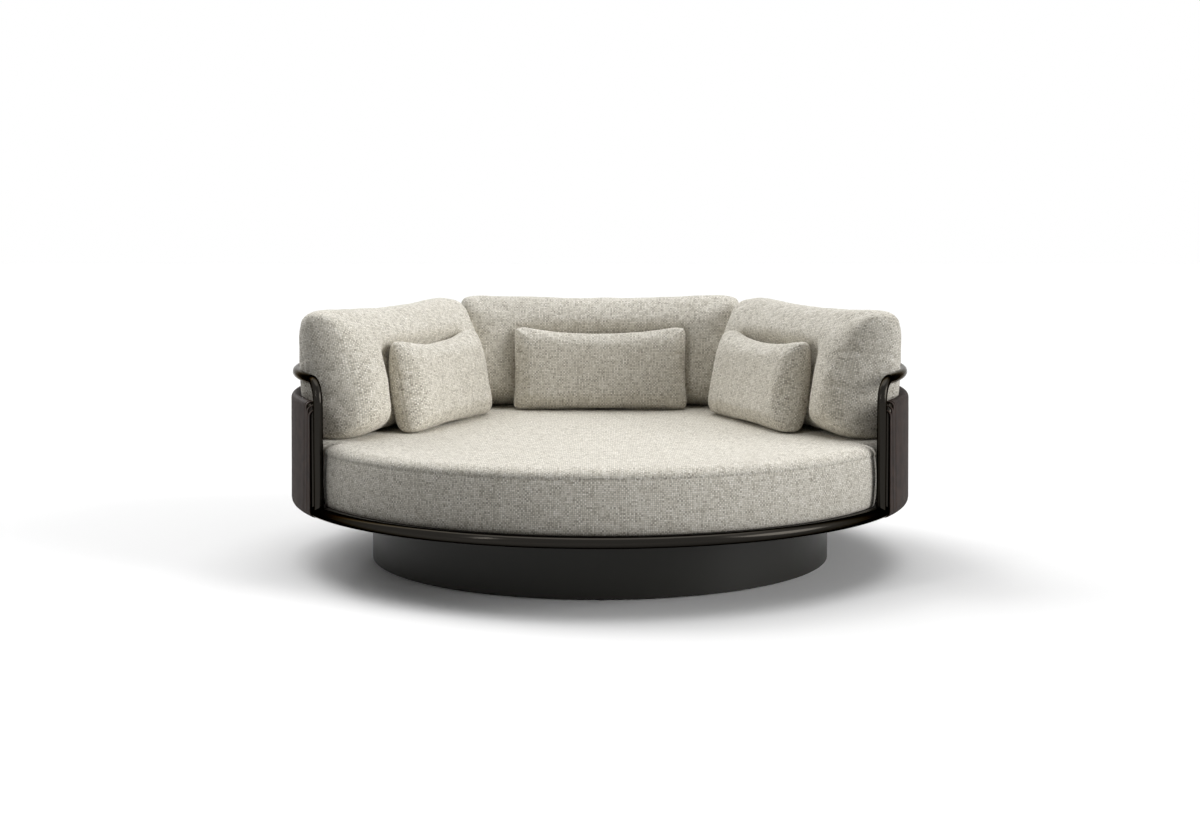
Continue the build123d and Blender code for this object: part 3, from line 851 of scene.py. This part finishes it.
# Strap wound round the seat ring and the upper tube, from post to post round the back
band = {
    "radius": 0.981,  # of both tubes' middle lines
    "lowLevel": 0.213,
    "highLevel": 0.530,
    "lowReach": 0.0175,  # from a tube's middle to the inside of the strap
    "highReach": 0.0155,
    "thickness": 0.0019,
    "width": 0.0145,
    "gap": 0.0006,
    "endTurn": 28.611,  # degrees past the side-to-side axis where the winding ends
    "bendTurn": 25.806,  # where the upper tube starts to bend down
    "bend": 0.032,  # radius of that bend
    "bendMost": 0.98,  # share of the bend that the strap follows
    "arcSteps": 9,
    # Half a turn's section, flat with worn edges: shares of half the width and of the thickness
    "section": [(-1, 0), (-0.9, 0.8), (-0.4, 1), (0.4, 1), (0.9, 0.8), (1, 0)],
}
leather = {
    "grain": 900.0,  # per metre, so 1.1 mm
    "grainStrength": 0.25,
    "grainDepth": 0.0004,
    "streaks": 30.0,  # per metre, so about 33 mm
    "shades": ((0.35, "#211814"), (0.65, "#30231d")),
    "roughness": 0.55,
    "specular": 0.1,
}


def makeStrapMaterial():
    # Saddle leather, dyed dark brown and waxed: fine grain and satin, with streaks a little lighter
    material, tree = newMaterial("darkSaddleLeather")
    place = addNode(tree, "ShaderNodeTexCoord").outputs["Object"]
    grain = addNode(tree, "ShaderNodeTexNoise", {"Scale": leather["grain"], "Detail": 4.0}, {"Vector": place})
    streak = addNode(
        tree, "ShaderNodeTexNoise", {"Scale": leather["streaks"], "Detail": 3.0}, {"Vector": place}
    )
    shades = addNode(tree, "ShaderNodeValToRGB", links={0: streak.outputs["Fac"]})
    setShades(shades, leather["shades"])
    bump = addNode(
        tree,
        "ShaderNodeBump",
        {"Strength": leather["grainStrength"], "Distance": leather["grainDepth"]},
        {"Height": grain.outputs["Fac"]},
    )
    shader = addNode(
        tree,
        "ShaderNodeBsdfPrincipled",
        {"Roughness": leather["roughness"], "Specular IOR Level": leather["specular"]},
        {"Base Color": shades.outputs[0], "Normal": bump.outputs[0]},
    )
    addNode(tree, "ShaderNodeOutputMaterial", links={"Surface": shader.outputs[0]})
    return material


def makeStrapLoop(highLevel):
    # One turn of strap: its section spun round each tube and drawn along between them
    bm = bmesh.new()
    half, thick = band["width"] / 2, band["thickness"]
    low = Vector((band["radius"], 0, band["lowLevel"]))
    high = Vector((band["radius"], 0, highLevel))
    slope = math.asin((band["lowReach"] - band["highReach"]) / (high.z - low.z))
    out = Vector((math.cos(slope), 0, math.sin(slope)))
    start = low + out * band["lowReach"]
    verts = [
        bm.verts.new(start + out * thick * rise + Vector((0, half * along, 0)))
        for along, rise in band["section"]
    ]
    ring = [bm.edges.new(pair) for pair in zip(verts, verts[1:] + verts[:1])]

    def edgesOf(geom):
        return [item for item in geom if isinstance(item, bmesh.types.BMEdge)]

    def draw(edges, move):
        result = bmesh.ops.extrude_edge_only(bm, edges=edges)["geom"]
        fresh = [item for item in result if isinstance(item, bmesh.types.BMVert)]
        bmesh.ops.translate(bm, verts=fresh, vec=move)
        return edgesOf(result)

    def wrap(edges, centre, angle):
        result = bmesh.ops.spin(
            bm, geom=edges, axis=(0, 1, 0), cent=centre, angle=angle, steps=band["arcSteps"]
        )
        return edgesOf(result["geom_last"])

    run = high + out * band["highReach"] - start
    ring = wrap(ring, low, math.pi + 2 * slope)
    ring = draw(ring, Vector((-run.x, 0, run.z)))
    ring = wrap(ring, high, math.pi - 2 * slope)
    draw(ring, -run)
    closeUp(bm, distance=0.00002)
    return newMesh("strapLoop", bm)


def cornerLevel(turn):
    # The upper tube bends down at both ends, and the strap's turns there are shorter
    past = abs(turn - math.pi / 2) - math.pi / 2 - math.radians(band["bendTurn"])
    past = max(0.0, past) * band["radius"]
    if past <= 0:
        return band["highLevel"]
    outer = band["bend"]
    past = min(past, outer * band["bendMost"])
    return band["highLevel"] - outer + math.sqrt(outer * outer - past * past)


def makeBand():
    bm = bmesh.new()
    pitch = (band["width"] + band["gap"]) / band["radius"]
    reach = math.pi + 2 * math.radians(band["endTurn"]) - pitch
    count = round(reach / pitch)
    loops = {}
    for number in range(count + 1):
        turn = -math.radians(band["endTurn"]) + pitch / 2 + reach * number / count
        level = cornerLevel(turn)
        if level not in loops:
            loops[level] = makeStrapLoop(level)
        first = len(bm.verts)
        bm.from_mesh(loops[level])
        bm.verts.ensure_lookup_table()
        bmesh.ops.rotate(bm, verts=bm.verts[first:], cent=(0, 0, 0), matrix=Matrix.Rotation(turn, 3, "Z"))
    piece = addObject("strap_loops", newMesh("strapLoops", bm))
    dressPiece(piece, makeStrapMaterial(), "bed_frame")
    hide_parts("band_winding")
    print("band has", count + 1, "turns of strap")


makeBand()

scene.view_settings.view_transform = "Standard"
